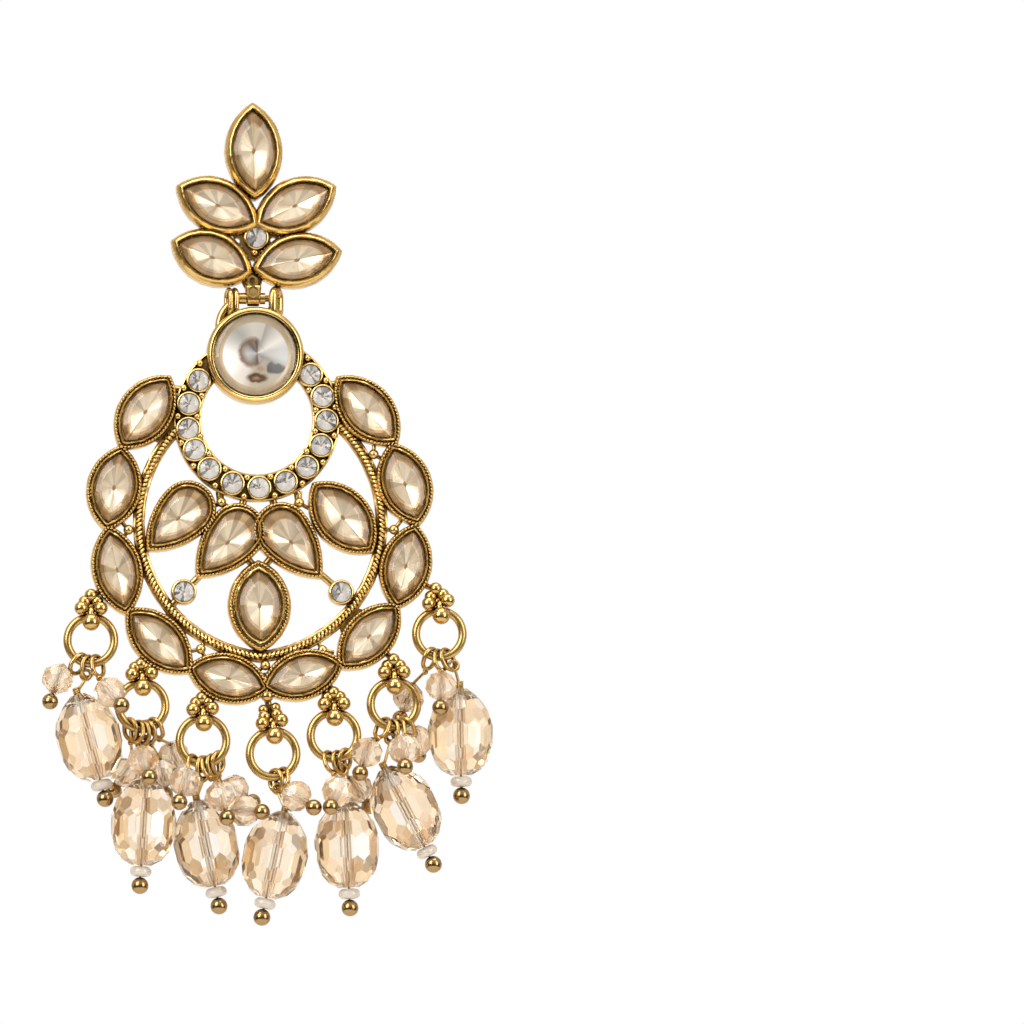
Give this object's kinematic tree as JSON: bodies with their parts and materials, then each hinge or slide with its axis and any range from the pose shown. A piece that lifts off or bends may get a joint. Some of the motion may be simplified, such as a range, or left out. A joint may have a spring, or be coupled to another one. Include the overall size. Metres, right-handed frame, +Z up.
{
  "type": "chandbali earring",
  "caption": "Post earring: leaf-shaped stone stud with a free-swinging pierced crescent drop of set stones and a fringe of faceted glass beads.",
  "frame": {"origin": "where the back of the stud rests on the front of the ear lobe, on the axis of the post", "axes": "+Z up as worn, the front faces -Y, +X is to the viewer's right of the front view"},
  "size_m": [0.0451, 0.0166, 0.0826],
  "materials": {
    "antique_gold": "antique gold plate with dark recesses",
    "champagne_stone": "faceted foil-backed champagne stone",
    "clear_crystal": "faceted foil-backed clear crystal",
    "champagne_bead": "transparent faceted champagne glass",
    "white_seed": "white pearly glass"
  },
  "bodies": {
    "stud": {"stud_frame": "antique_gold", "ear_post": "antique_gold", "stud_stone_1": "champagne_stone", "stud_stone_2": "champagne_stone", "stud_stone_3": "champagne_stone", "stud_stone_4": "champagne_stone", "stud_stone_5": "champagne_stone", "stud_chaton": "clear_crystal"},
    "drop": {"drop_frame": "antique_gold", "round_stone": "clear_crystal", "rim_stone_01": "champagne_stone", "rim_stone_02": "champagne_stone", "rim_stone_03": "champagne_stone", "rim_stone_04": "champagne_stone", "rim_stone_05": "champagne_stone", "rim_stone_06": "champagne_stone", "rim_stone_07": "champagne_stone", "rim_stone_08": "champagne_stone", "rim_stone_09": "champagne_stone", "rim_stone_10": "champagne_stone", "petal_stone_1": "champagne_stone", "petal_stone_2": "champagne_stone", "petal_stone_3": "champagne_stone", "petal_stone_4": "champagne_stone", "petal_stone_5": "champagne_stone", "crescent_chatons": "clear_crystal", "side_chatons": "clear_crystal", "jump_ring_1": "antique_gold", "jump_ring_2": "antique_gold", "jump_ring_3": "antique_gold", "jump_ring_4": "antique_gold", "jump_ring_5": "antique_gold", "jump_ring_6": "antique_gold", "jump_ring_7": "antique_gold", "small_links": "antique_gold", "drop_bead_1": "champagne_bead", "drop_bead_2": "champagne_bead", "drop_bead_3": "champagne_bead", "drop_bead_4": "champagne_bead", "drop_bead_5": "champagne_bead", "drop_bead_6": "champagne_bead", "drop_bead_7": "champagne_bead", "drop_pin_1": "antique_gold", "drop_pin_2": "antique_gold", "drop_pin_3": "antique_gold", "drop_pin_4": "antique_gold", "drop_pin_5": "antique_gold", "drop_pin_6": "antique_gold", "drop_pin_7": "antique_gold", "seed_beads": "white_seed", "small_beads": "champagne_bead", "small_pins": "antique_gold"}
  },
  "joints": [
    {"name": "drop_swing", "type": "hinge", "parent": "stud", "child": "drop", "pos_m": [0, -0.0012, -0.0088], "axis": [1, 0, 0], "range_deg": [-95, 67]}
  ]
}
